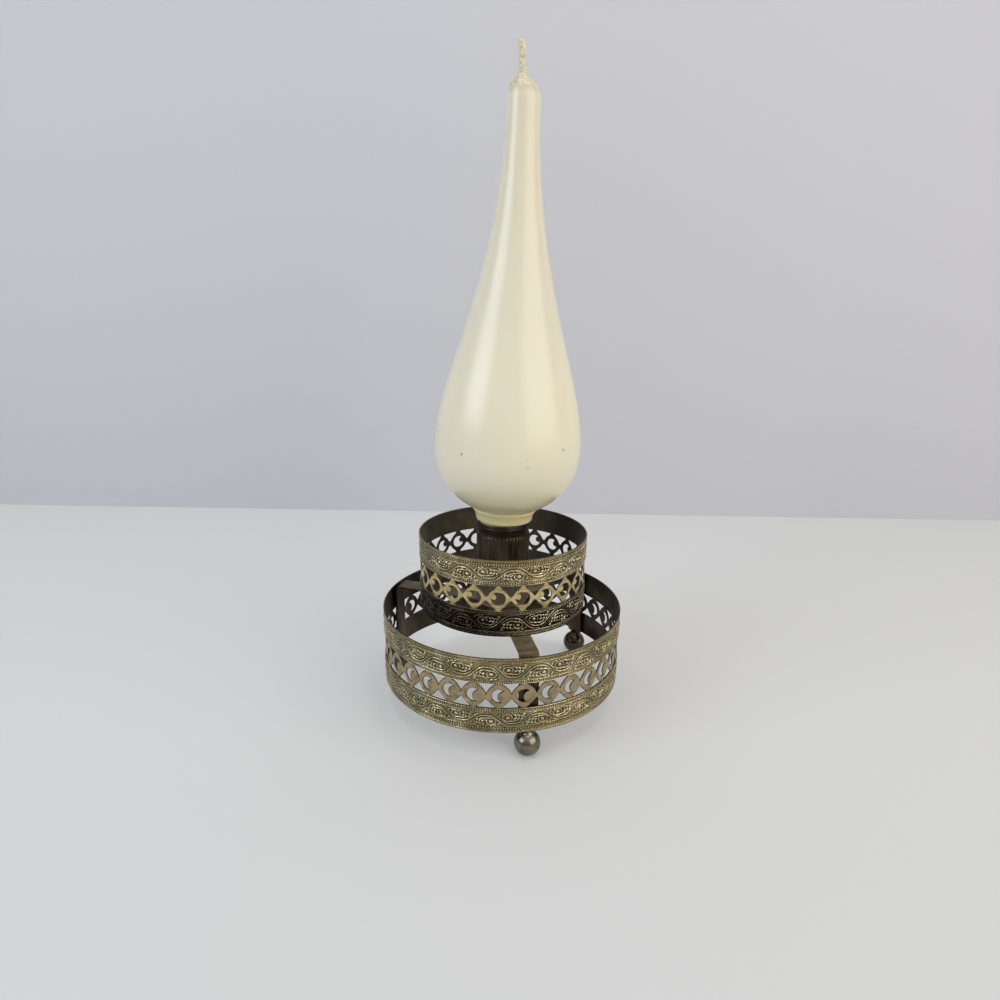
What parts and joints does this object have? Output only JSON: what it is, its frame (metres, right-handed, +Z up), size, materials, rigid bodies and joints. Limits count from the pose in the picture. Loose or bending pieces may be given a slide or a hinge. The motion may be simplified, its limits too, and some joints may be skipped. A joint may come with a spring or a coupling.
{
  "type": "taper candle holder",
  "caption": "Footed candle holder with stepped pierced gallery rings on a leg frame, a ribbed socket at its middle and a teardrop candle that lifts out.",
  "frame": {"origin": "on the surface that the ball feet stand on, below the socket's axis", "axes": "+Z up along the socket and the candle, -Y towards the front, +X to the right"},
  "size_m": [0.109, 0.1102, 0.2701],
  "materials": {
    "gallery_brass": "aged, rubbed bright on the relief and brown in its hollows",
    "frame_brass": "aged satin",
    "socket_brass": "darkened satin",
    "foot_brass": "polished, dark",
    "wax": "ivory wax, softly glossy",
    "wick": "waxed cotton"
  },
  "bodies": {
    "holder": {"lower_gallery_ring": "gallery_brass", "upper_gallery_ring": "gallery_brass", "leg_frame": "frame_brass", "candle_socket": "socket_brass", "socket_rivet": "frame_brass", "ball_foot_front": "foot_brass", "ball_foot_back_right": "foot_brass", "ball_foot_back_left": "foot_brass"},
    "candle": {"candle_wax": "wax", "candle_wick": "wick"}
  },
  "joints": [
    {"name": "candle_lift", "type": "slide", "parent": "holder", "child": "candle", "axis": [0, 0, 1], "range_m": [0, 0.03]}
  ]
}
